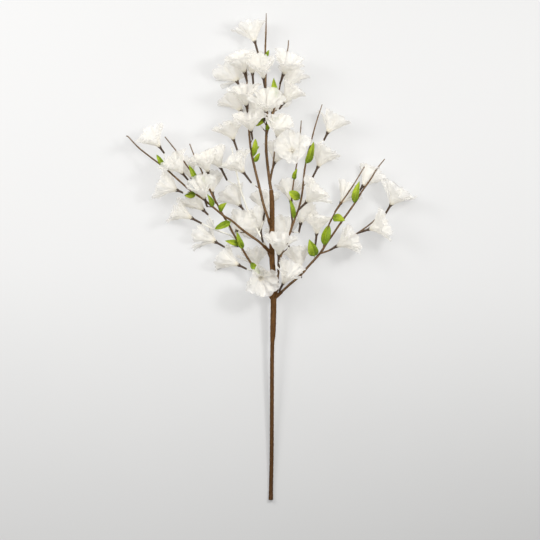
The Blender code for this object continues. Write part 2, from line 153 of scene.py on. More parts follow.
# Blooms
PETALS = 4
PETAL_THICKNESS = 0.8       # of the solids, whose middle surface the cloth follows
CLOTH_THICKNESS = 0.3
HUB_RADIUS = 2.0
PETAL_WIDTH = 23.0
PETAL_COLUMNS = 14
PETAL_ROWS = 24
PETAL_END = 0.80            # where along a petal its round end starts
PETAL_FLARE = 24.0          # degrees by which a petal opens further from its base to its tip
PETAL_CUP = 0.28            # how far a petal's edges curl towards the bloom's axis, over its half width
PETAL_WAVE = 1.8
PETAL_CROWD = 0.62          # most of a petal's half width, over its distance from the bloom's axis
PETAL_ROOT = 0.10           # stretch of a petal that blends into the hub
PETAL_CRUMPLE = 2.7
INNER_SEAT = 0.9            # how far the inner petals' hub lies above that of the outer ones
INNER_CLOSER = 5.0          # degrees by which the inner petals open less
INNER_LENGTH = 0.93         # length of the inner petals over that of the outer ones
NOTCHES = 3                 # in each petal's end
VEIN_HEIGHT = 0.10
VEIN_COUNT = 3.0

# Leaves
LEAF_THICKNESS = 0.35
LEAF_COLUMNS = 12
LEAF_ROWS = 26
LEAF_STALK = 0.10           # bare share of a leaf's length at its root
LEAF_WIDEST = 0.30, 0.50    # where along its blade a leaf is widest
LEAF_FOLD = 0.25, 0.75      # how far a leaf's edges stand above its rib, over its half width
LEAF_LEAN = 0.6             # most that a leaf is rolled about its rib, in radians
LEAF_BOW = 0.07             # most that its rib bends aside, over its length
LEAF_ARCH = 0.10            # rise of the leaf's middle, over its length
LEAF_TEETH = 11
LEAF_TOOTH = 0.06           # depth of the teeth, over the leaf's half width
LEAF_VEINS = 6
LEAF_VEIN_HEIGHT = 0.12
LEAF_RIB_DEPTH = 0.22
LEAF_RIB_WIDTH = 0.13       # over the leaf's half width

# Colours of the materials. Where there are two of a kind, the material runs from the first to the second
CLOTH_CREAM = (0.94, 0.89, 0.76)        # near the bloom's hub
CLOTH_WHITE = (0.99, 0.98, 0.955)
CLOTH_SHADE = (0.955, 0.952, 0.94)
SHEER_TINT = (1.0, 0.99, 0.97)          # of the light that comes straight through
LEAF_GREENS = (0.082, 0.132, 0.002), (0.32, 0.38, 0.004)
LEAF_DEEP = (0.165, 0.255, 0.003)       # mixed more into some leaves than into others
LEAF_BLOTCH = (0.40, 0.53, 0.015)
LEAF_PAINTED_SHADE = (0.095, 0.180, 0.003)       # painted shade, mixed into one half of the blade
LEAF_VEIN = (0.44, 0.54, 0.06)
BARK_BROWNS = (0.048, 0.025, 0.010), (0.180, 0.100, 0.040)
BARK_TIP = (0.20, 0.155, 0.115)
CUP_BROWNS = (0.034, 0.021, 0.013), (0.085, 0.053, 0.032)
PALE_WIRE = (0.64, 0.62, 0.55)
TAPE_BROWNS = (0.052, 0.020, 0.003), (0.115, 0.050, 0.010)
TAPE_CREPE = (0.145, 0.070, 0.018)
TAPE_CUT_END = (0.038, 0.013, 0.002)
# painted shade beside the tape's free edges, which also darkens the tape's ends
TAPE_SHADE_AND_ENDS = (0.040, 0.018, 0.008)
WIRE_CORE = (0.16, 0.15, 0.14)
CUT_END_SHADE = -0.05, -0.40            # metres along the stem between which the tape darkens

# Route of the taped stem: x, y, z of its middle and its radius, from the cut end to the leader's foot
MAIN_STEM = [
    (-2, -399, 3.48, 3.7), (-1.5, -372, 3.1, 3.3), (-0.5, -312, 7, 3.2), (0, -187, 15, 3.2),
    (0.5, -143, 17.5, 3.2), (1.5, -122, 19, 4.4), (2.5, -74, 22.5, 4.7), (2, -30, 26, 4.5),
    (0, 0, 28, 4.4), (0, 43, 31, 4.2), (0, 87, 34, 3.9),
]

# Routes of the twigs, foot first: x, y, z and radius. A foot stands on the end of its arm of the main
# stem or, for a side twig, inside the twig that it grows from.
TWIGS = {
    "leader_twig": [
        [(-1.8, 112, 35.2, 2.6), (-6, 141, 36.5, 2.4), (-9.5, 177, 38, 2.3), (-9, 210, 39, 2.1),
         (-8, 232, 39.5, 2.0), (-10.5, 260, 40, 1.9), (-10.5, 308, 41, 1.7), (-11, 338, 41, 1.5),
         (-10, 369, 41, 1.3), (-9.5, 400, 41, 0.6)],
        [(-3.2, 122, 35.6, 1.4), (1, 148, 40, 1.4), (4, 172, 46, 1.3), (6.5, 186, 49, 1.3)],
        [(-8.4, 203, 38.6, 1.5), (-3, 225, 39, 1.5), (2, 239, 39, 1.4), (7, 254, 39, 1.4),
         (11, 272, 38, 1.3), (16, 297, 36, 1.2), (22, 325, 36, 1.1), (26, 343, 37, 1.0),
         (27, 356, 37, 0.9)],
    ],
    "inner_left_twig": [
        [(-6, 64, 42, 2.1), (-13, 84, 45, 2.1), (-21, 117, 46, 2.1), (-29.5, 152, 46, 2.0),
         (-34.5, 177, 45, 1.8), (-37, 200, 43, 1.7), (-39.5, 233, 40, 1.6), (-40, 259, 38, 1.5),
         (-41, 289, 36, 1.3), (-43, 315, 35, 1.1), (-44, 335, 35, 0.9)],
    ],
    "left_twig": [
        [(-14, 20, 37.5, 2.0), (-23, 28, 38.5, 2.0), (-39, 39, 40, 2.0), (-52, 49, 40.5, 1.9),
         (-66, 61, 41, 1.8), (-79, 69, 41, 1.8), (-95, 82, 40, 1.7), (-111, 95, 39, 1.7),
         (-134, 111, 37, 1.6), (-156, 130, 35, 1.5), (-175, 147, 33, 1.4), (-200, 166, 30, 1.3),
         (-220, 182, 27, 1.2), (-236, 199, 25, 1.0), (-239, 200, 26.5, 0.8)],
        [(-107, 92, 39, 1.3), (-114, 108, 41, 1.3), (-125, 131, 43, 1.3), (-138, 149, 43, 1.2),
         (-152, 169, 42, 1.1), (-175, 198, 40, 0.9)],
    ],
    "lower_left_twig": [
        [(-9.5, -52, 22.5, 2.1), (-15, -43, 22.8, 2.0), (-23, -30, 24, 1.9), (-33, -11, 26, 1.9),
         (-43, 5, 28, 1.8), (-52, 21, 29.5, 1.8), (-64, 41, 31, 1.7), (-72, 57, 32, 1.7),
         (-79, 68, 32.5, 1.6), (-88, 85, 32, 1.5), (-98, 103, 31, 1.5), (-108, 126, 30, 1.4),
         (-118, 148, 29, 1.2), (-125, 161, 28, 1.1), (-135, 187, 27, 0.9)],
        [(-50, 17, 29, 1.3), (-67, 36, 25, 1.3), (-92, 46, 23, 1.2), (-113, 55, 21, 1.1)],
    ],
    "back_left_twig": [
        [(-6, 10, 21, 1.9), (-16, 30, 19, 1.8), (-31, 59, 18, 1.7), (-43, 87, 18, 1.6),
         (-52, 115, 19, 1.5), (-59, 144, 20, 1.3), (-63, 164, 21, 1.1), (-66, 182, 22, 0.9)],
    ],
    "inner_right_twig": [
        [(8.5, -46, 30.5, 2.0), (9.5, -30, 33, 2.0), (12, -10, 35, 2.0), (15, 5, 36, 1.9),
         (23, 25, 37, 1.9), (30, 43, 38, 1.8), (38, 66, 39, 1.7), (44, 82, 40, 1.7), (49, 104, 40, 1.6),
         (53, 141, 39, 1.5), (57, 164, 38, 1.4), (62, 182, 37, 1.3), (69, 210, 36, 1.1),
         (75, 230, 36, 1.0), (82, 251, 36, 0.8)],
        [(29, 41, 37.8, 1.3), (33, 59, 33, 1.3), (32, 93, 28, 1.3), (36, 128, 27, 1.2),
         (43, 169, 27, 1.1), (46, 200, 28, 1.0), (48, 225, 29, 0.8)],
    ],
    "right_twig": [
        [(16.5, -55, 23.5, 2.1), (29.5, -43, 24.5, 2.0), (46, -29, 26, 2.0), (62, -11, 28, 1.9),
         (79, 8, 30, 1.9), (90, 25, 31, 1.8), (100, 39, 32, 1.7), (111.5, 56, 33, 1.7), (128, 79, 33, 1.6),
         (139, 95, 33, 1.5), (148, 110, 32, 1.4), (161, 128, 31, 1.3), (172, 146, 30, 1.1),
         (184.5, 162, 29, 0.9)],
        [(84, 15.5, 30.5, 1.3), (90, 46, 37, 1.3), (103, 74, 40, 1.2), (113, 90, 41, 1.2),
         (131, 116, 41, 1.1), (151, 149, 40, 0.9)],
        [(78, 7, 30, 1.5), (95, 13, 27, 1.5), (105, 20, 24, 1.4), (120, 28, 21, 1.4), (141, 41, 19, 1.3),
         (159, 54, 18, 1.2), (177, 69, 17, 1.2)],
    ],
}

# Arms of the main stem, where the tape runs out over a twig's foot: each one's start inside the stem
ARMS = {
    "inner_left_twig": (-1, 50, 32),
    "left_twig": (1, 6, 29),
    "lower_left_twig": (1, -68, 23),
    "back_left_twig": (0, -4, 27),
    "inner_right_twig": (4, -66, 24.5),
    "right_twig": (3, -67, 23),
}

# Blooms of each twig: foot and base of the cup as x, y, z, then the bloom's spin and opening in degrees,
# and the length of its petals. The petals of each pass between those of its neighbours.
BLOOMS = {
    "leader_twig": [
        ((-23, 336, 36), (-28, 354, 33), 345, 30, 42),
        ((-30, 277, 30), (-32, 302, 16), 225, 22, 42),
        ((-11, 274, 46), (-14, 293, 59), 270, 26, 42),
        ((13, 285, 41), (19, 300, 49), 210, 30, 42),
        ((12, 244, 38), (19, 254, 39), 300, 22, 42),
        ((-25, 225, 30), (-26, 234, 15), 225, 26, 40),
        ((-3, 223, 34), (1, 238, 24), 270, 22, 40),
        ((-13, 223, 46), (-10, 239, 60), 75, 34, 42),
        ((6.5, 186, 49), (8.5, 198, 59), 30, 22, 42),
        ((21, 269, 29), (26, 281, 23), 10, 26, 40),
        ((-1, 141, 28), (4, 156, 22), 0, 30, 40),
    ],
    "inner_left_twig": [
        ((-41, 289, 38), (-45, 303, 44), 315, 30, 42),
        ((-52, 279, 32), (-57, 289, 24), 45, 38, 42),
        ((-43, 225, 31), (-51, 241, 24), 270, 30, 42),
        ((-39, 233, 42), (-42, 249, 49), 255, 30, 42),
        ((-34, 123, 50), (-46, 139, 54), 195, 30, 42),
        ((-32, 194, 50), (-34, 207, 55), 210, 34, 42),
    ],
    "left_twig": [
        ((-146, 107, 30), (-155, 111, 27), 345, 30, 42),
        ((-138, 128, 38), (-146, 138, 44), 285, 26, 42),
        ((-177, 172, 30), (-184, 182, 36), 45, 30, 42),
        ((-106, 84, 44), (-110, 97, 53), 255, 22, 42),
        ((-60, 42, 30), (-58, 44, 27), 165, 38, 38),
        ((-126, 118, 29), (-131, 131, 23), 255, 22, 40),
    ],
    "lower_left_twig": [
        ((-21, -29, 27), (-19, -32, 38), 10, 32, 40),
        ((-42, -18, 22), (-54, -12, 18), 15, 26, 42),
        ((-78, 18, 24), (-92, 26, 16), 180, 26, 42),
        ((-105, 71, 31), (-112, 78, 26), 120, 22, 42),
        ((-102, 131, 32), (-105, 141, 36), 165, 26, 38),
        ((-92, 90, 26), (-98, 107, 17), 0, 30, 40),
        ((-23, -30, 18), (-26, -16, 14), 0, 30, 38),
        ((-116, 57, 21), (-131, 65, 22), 300, 22, 42),
    ],
    "back_left_twig": [
        ((-15, 26, 24), (-19, 46, 14), 0, 26, 42),
        ((-43, 74, 17), (-52, 86, 11), 90, 26, 42),
        ((-74, 128, 20), (-84, 148, 15), 60, 26, 42),
        ((-56, 174, 26), (-63, 194, 30), 20, 33, 42),
        ((-14, 62, 17), (-13, 76, 11), 210, 30, 40),
    ],
    "inner_right_twig": [
        ((10, -20, 43), (11, 5, 53), 180, 30, 42),
        ((28, 18, 26), (23, 30, 17), 90, 30, 42),
        ((44, 79, 46), (56, 91, 50), 15, 30, 42),
        ((33, 62, 28), (31, 93, 17), 90, 26, 40),
        ((66, 131, 36), (75, 149, 32), 285, 30, 42),
        ((85, 193, 34), (91, 205, 33), 120, 30, 42),
        ((34, 170, 41), (33, 174, 51), 270, 38, 38),
        ((44, 42, 27), (47, 56, 18), 345, 26, 40),
    ],
    "right_twig": [
        ((12, -54, 31), (18, -42, 38), 225, 26, 42),
        ((48, -32, 22), (46, -17, 18), 105, 26, 42),
        ((71, 20, 31), (73, 39, 33), 240, 26, 40),
        ((103, 75, 38), (113, 90, 30), 165, 22, 40),
        ((139, 103, 28), (149, 118, 21), 30, 26, 42),
        ((95, 13, 27), (106, 19, 31), 45, 26, 42),
        ((141, 41, 23), (159, 47, 28), 195, 30, 42),
        ((186, 72, 17), (195, 87, 21), 70, 36, 46),
    ],
}

# Leaves of each twig: the point inside the twig that the leaf grows from, its tip and its width
LEAVES = {
    "leader_twig": [
        ((8, 260, 39), (3, 294, 47), 11), ((-10.8, 325, 41), (-5, 340, 46), 6),
        ((-8, 232, 39.5), (-27, 216, 44), 8), ((-9, 208, 39), (-5, 222, 45), 7),
        ((-4, 221, 39), (12, 230, 44), 8),
    ],
    "inner_left_twig": [
        ((-31.5, 163, 45.5), (-27, 194, 54), 9), ((-30, 156, 46), (-20, 171, 52), 8),
        ((-34, 175, 45), (-21, 182, 50), 8),
    ],
    "left_twig": [
        ((-176, 148, 33), (-189, 169, 40), 8), ((-123, 127, 43), (-136, 152, 51), 9),
        ((-124, 104, 38), (-143, 102, 45), 12), ((-96, 83, 40), (-106, 104, 47), 9),
        ((-86, 75, 40.5), (-74, 90, 46), 10), ((-66, 61, 41), (-93, 47, 47), 12),
    ],
    "lower_left_twig": [
        ((-107, 124, 30), (-115, 133, 36), 8), ((-47, 13, 28.5), (-58, 43, 36), 10),
        ((-52, 21, 29.5), (-77, 28, 34), 10), ((-36, -6, 26.5), (-14, -28, 33), 10),
    ],
    "inner_right_twig": [
        ((36, 128, 27), (41, 146, 36), 8), ((47, 96, 40), (28, 108, 50), 15),
        ((36, 62, 39), (29, 95, 46), 8), ((54, 152, 38.5), (68, 190, 47), 12),
    ],
    "right_twig": [
        ((85, 18, 30.5), (93, 54, 39), 15), ((70, 1, 29), (61, 30, 37), 17),
        ((98, 66, 39), (119, 61, 46), 14), ((134, 88, 33), (143, 125, 41), 12),
    ],
}


# One ring of a tube: its middle, its radius, how far along it lies, and the axes there
Ring = namedtuple("Ring", "middle radius along ahead across up")


class Shape:
    """Points and faces of one piece, with a place on its surface and a tone for its material."""

    def __init__(self):
        self.points = []
        self.faces = []
        self.spots = []
        self.tones = []

    def add(self, points, faces, spots, tones):
        start = len(self.points)
        self.points += points
        self.faces += [tuple(i + start for i in face) for face in faces]
        self.spots += spots
        self.tones += tones

    def finish(self, name, look, node):
        """Makes the object that stands for a node of the solids."""
        mesh = bpy.data.meshes.new(name)
        mesh.from_pydata([(p.x * MM, p.y * MM, max(p.z, 0.0) * MM) for p in self.points], [], self.faces)
        spots = mesh.attributes.new("spot", "FLOAT_VECTOR", "POINT")
        spots.data.foreach_set("vector", [value for spot in self.spots for value in spot])
        mesh.attributes.new("tone", "FLOAT", "POINT").data.foreach_set("value", self.tones)
        mesh.polygons.foreach_set("use_smooth", [True] * len(mesh.polygons))
        mesh.materials.append(look)
        obj = bpy.data.objects.new(name, mesh)
        bpy.context.scene.collection.objects.link(obj)
        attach(obj, "root")
        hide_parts(node)


def smooth_step(low, high, value):
    t = min(max((value - low) / (high - low), 0.0), 1.0)
    return t * t * (3 - 2 * t)


def curve_through(route, step):
    """Points about a step apart on a smooth curve through the route's points, each with its radius."""
    knots = [Vector(p) for p in route]
    knots = [knots[0] * 2 - knots[1], *knots, knots[-1] * 2 - knots[-2]]
    smooth = []
    for a, b, c, d in zip(knots, knots[1:], knots[2:], knots[3:]):
        pieces = max(1, round((c.xyz - b.xyz).length / step))
        for i in range(pieces):
            t = i / pieces
            doubled = 2 * b + (c - a) * t
            doubled += (2 * a - 5 * b + 4 * c - d) * t**2
            doubled += (3 * b - a - 3 * c + d) * t**3
            smooth.append(0.5 * doubled)
    return smooth + [knots[-2]]


def rings_along(line):
    """A ring at each point of a line, with axes that follow the line without twisting."""
    across = None
    travelled = 0.0
    for i, here in enumerate(line):
        before = line[max(i - 1, 0)].xyz
        ahead = (line[min(i + 1, len(line) - 1)].xyz - before).normalized()
        if across is None:
            across = ahead.cross(UP).normalized()
        across = (across - ahead * across.dot(ahead)).normalized()
        travelled += (here.xyz - before).length
        yield Ring(here.xyz, here.w, travelled, ahead, across, across.cross(ahead))


def add_rings(shape, rows, ends, sides, relief=None, tone=None):
    """Closed form of rings, with a middle point at each end.

    A ring has a tone of its own. Where that is None, relief(along, turn) adds to its radius and
    tone(along, turn) is what its material reads.
    """
    points = []
    spots = []
    tones = []
    for ring, shade in rows:
        for k in range(sides):
            turn = math.tau * k / sides
            grown = ring.radius + (relief(ring.along, turn) if shade is None else 0.0)
            points.append(ring.middle + (ring.across * math.cos(turn) + ring.up * math.sin(turn)) * grown)
            spots.append((ring.along, grown * math.cos(turn), grown * math.sin(turn)))
            tones.append(tone(ring.along, turn) if shade is None else shade)
    for ring, shade in ends:
        points.append(ring.middle.copy())
        spots.append((ring.along, 0.0, 0.0))
        tones.append(tone(ring.along, 0.0) if shade is None else shade)
    faces = []
    for low in range(0, (len(rows) - 1) * sides, sides):
        high = low + sides
        faces += [(low + k, low + (k + 1) % sides, high + (k + 1) % sides, high + k) for k in range(sides)]
    last = (len(rows) - 1) * sides
    start = len(rows) * sides
    faces += [(start, (k + 1) % sides, k) for k in range(sides)]
    faces += [(last + k, last + (k + 1) % sides, start + 1) for k in range(sides)]
    shape.add(points, faces, spots, tones)


def tube(shape, line, sides, relief, tone, start_cap=(), end_cap=()):
    """Closed tube round a line."""
    rings = list(rings_along(line))
    first = rings[0]
    last = rings[-1]
    rows = []
    for out, share, shade in reversed(start_cap):
        middle = first.middle - first.ahead * out
        rows.append((first._replace(middle=middle, radius=first.radius * share, along=-out), shade))
    rows += [(ring, None) for ring in rings]
    for out, share, shade in end_cap:
        middle = last.middle + last.ahead * out
        along = last.along + out
        rows.append((last._replace(middle=middle, radius=last.radius * share, along=along), shade))
    add_rings(shape, rows, (rows[0], rows[-1]), sides, relief, tone)


def thin_sheet(shape, points, faces, thickness, spots, tones):
    """Closed solid round a thin sheet. Where it would reach below the board, it is pressed flat."""
    normals = [Vector() for _ in points]
    for face in faces:
        a, b, c = points[face[0]], points[face[1]], points[face[2]]
        slant = (c - a).cross(points[face[3]] - b) if len(face) == 4 else (b - a).cross(c - a)
        for i in face:
            normals[i] += slant
    half = thickness / 2
    sides = []
    for sign in (1, -1):
        for point, normal in zip(points, normals):
            moved = point + normal.normalized() * half * sign
            if point.z < half:
                moved.z = thickness if normal.z * sign > 0 else 0.0
            sides.append(moved)
    count = len(points)
    solid = [tuple(face) for face in faces] + [tuple(i + count for i in reversed(face)) for face in faces]
    edges = {(face[i], face[(i + 1) % len(face)]) for face in faces for i in range(len(face))}
    for a, b in sorted(edges):
        if (b, a) not in edges:
            solid.append((b, a, a + count, b + count))
    shape.add(sides, solid, spots * 2, tones * 2)


def seat(name):
    """End of the tape at a twig's foot: the last stretch of it, just short of the twig."""
    foot = Vector(TWIGS[name][0][0])
    ahead = (Vector(TWIGS[name][0][1]).xyz - foot.xyz).normalized()
    end = foot.xyz - ahead * GAP
    radius = foot.w + ARM_WALL
    return [(*(end - ahead * ARM_MOUTH), radius), (*end, radius - ARM_TAPER)]


def tape_wrap(along, turn):
    """Share of the tape's width at a place on it, from its covered edge to its free one."""
    return (along / TAPE_PITCH + turn / math.tau) % 1.0


def tape_relief(seed):
    def relief(along, turn):
        wrap = tape_wrap(along, turn)
        lip = TAPE_LIP * (wrap if wrap < 1 - TAPE_EDGE else (1 - wrap) / TAPE_EDGE * (1 - TAPE_EDGE))
        place = Vector((along * 0.22 + seed, math.cos(turn) * 1.1, math.sin(turn) * 1.1 + wrap))
        return lip + TAPE_CREASE * noise.noise(place)
    return relief


def tape_lap_shade(along, turn):
    """Amount of painted shade, darkest just below the tape's free edge."""
    return max(0.0, 1 - tape_wrap(along, turn) / TAPE_LAP) * TAPE_LAP_SHADE_TONE


def build_main_stem(look):
    shape = Shape()
    line = curve_through(MAIN_STEM + seat("leader_twig"), TAPE_STEP)
    tube(shape, line, TAPE_SIDES, tape_relief(0.0), tape_lap_shade, start_cap=CUT_END, end_cap=TAPE_END)
    for number, name in enumerate(ARMS, 1):
        ends = seat(name)
        line = curve_through([(*ARMS[name], ends[0][3]), *ends], TAPE_STEP)
        tube(shape, line, TAPE_SIDES, tape_relief(number * 7.3), tape_lap_shade, end_cap=TAPE_END)
    shape.finish("taped_stem", look, "main_stem")


def bark_relief(draw, length):
    """Lengthwise grain, and knots at uneven distances that stand out more on one side."""
    seed = draw.uniform(0, 100)
    knots = []
    place = draw.uniform(0.4, 0.9) * KNOT_SPACING
    while place < length - KNOT_SPACING / 3:
        knots.append((place, draw.uniform(0, math.tau)))
        place += KNOT_SPACING * draw.uniform(0.7, 1.3)

    def relief(along, turn):
        place = Vector((along * 0.12 + seed, math.cos(turn) * 2.2, math.sin(turn) * 2.2))
        grown = BARK_GRAIN * noise.noise(place)
        for at, side in knots:
            near = (along - at) / KNOT_LENGTH
            if abs(near) < 3:
                grown += KNOT_HEIGHT * math.exp(-near * near) * (0.55 + 0.45 * math.cos(turn - side))
        return grown
    return relief


def pale_tone(along, turn):
    return PALE_TONE * smooth_step(*PALE_START, along)


def tip_tone(length):
    """Tone of bark that turns paler towards the tip of a twig of this length."""
    def tone(along, turn):
        return TIP_TONE * smooth_step(length - TIP_LENGTH, length, along)
    return tone


def line_length(line):
    return sum((b.xyz - a.xyz).length for a, b in zip(line, line[1:]))


def nearest_on(route, point):
    """Smooth line through a route and the index of its point that is nearest to a given one."""
    line = curve_through(route, ROUTE_STEP)
    return line, min(range(len(line)), key=lambda i: (line[i].xyz - point).length)


def stalk_line(twig, foot, base):
    """Fine line of a bloom's stalk: a wire from the nearest branch of its twig, then a sleeve."""
    foot = Vector(foot)
    base = Vector(base)
    found = [nearest_on(branch, foot) for branch in TWIGS[twig]]
    line, place = min(found, key=lambda pair: (pair[0][pair[1]].xyz - foot).length)
    aside = (line[place].xyz - foot).length
    set_back = round(max(STALK_SET_BACK, aside) / ROUTE_STEP)
    root = line[max(place - set_back, 1)].xyz
    neck = base - (base - foot).normalized() * CUP_LIP_LENGTH
    route = [(*root, WIRE_RADIUS)]
    if (foot - root).length > SLEEVE_LIP * 3:
        route.append((*(foot - (foot - root).normalized() * SLEEVE_LIP), WIRE_RADIUS))
    return curve_through([*route, (*foot, SLEEVE_RADIUS), (*neck, CUP_NECK_RADIUS)], STALK_STEP)


def stalk_tone(twig, line, foot):
    """Tone along a stalk: bark beside or over a branch, a pale wire elsewhere, then the dark sleeve."""
    routes = [route for number, route in enumerate(TWIGS[twig]) if (twig, number) not in PALE_BRANCHES]
    branches = [curve_through(route, ROUTE_STEP) for route in (MAIN_STEM, *routes)]
    clear = []
    for here in line:
        gap = min((here.xy - point.xy).length - point.w for branch in branches for point in branch)
        clear.append(smooth_step(*WIRE_CLEAR, gap))

    def tone(along, turn):
        place = min(round(along / STALK_STEP), len(clear) - 1)
        sleeve = smooth_step(foot - SLEEVE_LIP, foot, along)
        return PALE_TONE * clear[place] * (1 - sleeve) + CUP_TONE * sleeve
    return tone


def add_cup(shape, foot, base):
    """Hollow cup with the peg that holds the cloth, as one turned form on the stalk's end."""
    ahead = (Vector(base) - Vector(foot)).normalized()
    across = ahead.cross(UP).normalized()
    up = across.cross(ahead)

    def ring(along, radius):
        return Ring(Vector(base) + ahead * along, radius, along, ahead, across, up)

    rows = [(ring(*CUP_ROOT), CUP_ROOT_TONE)]
    rows += [(ring(*spot), CUP_TONE) for spot in CUP_PROFILE]
    rows += [(ring(*spot), PALE_TONE) for spot in PEG_PROFILE]
    dome = ring(PEG_PROFILE[-1][0] + PEG_DOME, 0.0)
    add_rings(shape, rows, (rows[0], (dome, PALE_TONE)), STALK_SIDES)


def grid_faces(rows, columns):
    """Faces between rows of points, each row one point longer than its count of columns."""
    wide = columns + 1
    return [
        (r * wide + c, r * wide + c + 1, (r + 1) * wide + c + 1, (r + 1) * wide + c)
        for r in range(rows) for c in range(columns)
    ]


def add_sepals(shape, bloom):
    """Four small pointed sepals that stand up from the cup's lip behind the petals."""
    for petal in bloom.petals:
        points = []
        tones = []
        for row in range(SEPAL_ROWS + 1):
            t = row / SEPAL_ROWS
            v = SEPAL_REACH * t
            half = SEPAL_HALF_WIDTH * math.sqrt(max(1 - t**1.6, 0.01))
            for column in range(SEPAL_COLUMNS + 1):
                u = column / SEPAL_COLUMNS * 2 - 1
                points.append(bloom.axes @ petal.place(u * half, -SEPAL_OFFSET - SEPAL_SPREAD * t, v))
                tones.append(CUP_TONE + (PALE_TONE - CUP_TONE) * t)
        spots = [tuple(p) for p in points]
        thin_sheet(shape, points, grid_faces(SEPAL_ROWS, SEPAL_COLUMNS), SEPAL_THICKNESS, spots, tones)


class Petal:
    """One petal of a bloom, with its own small differences.

    The first draws are those of the solids. The fine ones come from a generator of their own.
    """

    def __init__(self, draw, fine, order, spin, opening, length, seat=0.0):
        self.seat = seat
        self.azimuth = math.radians(spin + 360 / PETALS * order + draw.uniform(-7, 7))
        self.low = math.radians(opening + draw.uniform(-4, 4))
        self.high = self.low + math.radians(PETAL_FLARE + draw.uniform(-8, 8))
        self.length = length * draw.uniform(0.93, 1.05)
        self.width = PETAL_WIDTH * draw.uniform(0.92, 1.08)
        self.twist = math.radians(draw.uniform(-16, 16))
        self.phase = draw.uniform(0, math.tau)
        self.roll = fine.uniform(-1.5, 3.5)
        self.edges = fine.uniform(-1.2, 2.6), fine.uniform(-1.2, 2.6)
        self.ruffle = fine.uniform(0.5, 1.5)
        self.ruffles = fine.uniform(1.8, 3.4)
        self.ruffle_phase = fine.uniform(0, math.tau)
        self.crumple = fine.uniform(0, 100)
        self.notches = [
            (fine.uniform(-0.75, 0.75), fine.uniform(0.02, 0.12), fine.uniform(0.09, 0.2))
            for _ in range(NOTCHES)
        ]

    def middle(self, v):
        """Distance from the bloom's axis, distance along it and slope of the petal's rib."""
        bend = self.high - self.low
        angle = self.low + bend * v
        out = HUB_RADIUS + self.length * (math.cos(self.low) - math.cos(angle)) / bend
        along = self.length * (math.sin(angle) - math.sin(self.low)) / bend
        return out, along, angle

    def half_width(self, v, out):
        """A narrow claw, then a blade that is widest past its middle and clear of its neighbours."""
        claw = HUB_RADIUS * 0.7 * (1 - v)
        blade = self.width / 2 * math.sin(math.pi * 0.62 * v**0.9) ** 0.8
        return min(claw + blade, out * PETAL_CROWD)

    def reach(self, u):
        """Where the petal ends at u of its half width: a blunt round end with uneven notches."""
        end = PETAL_END + (1 - PETAL_END) * math.sqrt(max(1 - u * u, 0.0))
        cuts = [depth * math.exp(-((u - place) / wide) ** 2) for place, depth, wide in self.notches]
        return end - sum(cuts)

    def fine_lift(self, u, v):
        """What the cloth adds to the plain form: rolled end and edges, ruffles, veins and crumples."""
        side = self.edges[1] if u > 0 else self.edges[0]
        rolled = side * (max(abs(u) - 0.62, 0.0) / 0.38) ** 2 * smooth_step(0.15, 0.75, v)
        end = -self.roll * (max(v - 0.66, 0.0) / 0.34) ** 2
        ruffle = self.ruffle * math.sin(self.ruffles * math.pi * u + self.ruffle_phase)
        ruffle *= smooth_step(0.45, 1.0, v)
        vein = VEIN_HEIGHT * math.cos(math.tau * VEIN_COUNT * u) * (1 - 0.6 * v)
        vein *= smooth_step(0.05, 0.25, v)
        rough = noise.noise(Vector((u * 1.7 + self.crumple, v * 4.5, self.crumple)))
        return rolled + end + ruffle + vein + PETAL_CRUMPLE * rough * smooth_step(0.12, 0.5, v)

    def place(self, sideways, inward, v):
        """Point beside the rib at v, in the bloom's own axes."""
        out, along, angle = self.middle(v)
        out -= inward * math.cos(angle)
        along += inward * math.sin(angle)
        c = math.cos(self.azimuth)
        s = math.sin(self.azimuth)
        return Vector((out * c - sideways * s, out * s + sideways * c, along + self.seat))

    def point(self, u, v):
        """Place on the petal and half its width there. u runs across from -1 to 1, v from base to tip."""
        half = self.half_width(v, self.middle(v)[0])
        turn = self.twist * v
        wave = PETAL_WAVE * v * u * math.sin(self.phase + 4.2 * v)
        lift = half * PETAL_CUP * u * u + wave + self.fine_lift(u, v)
        sideways = u * half * math.cos(turn) - lift * math.sin(turn)
        inward = u * half * math.sin(turn) + lift * math.cos(turn)
        return self.place(sideways, inward, v), half


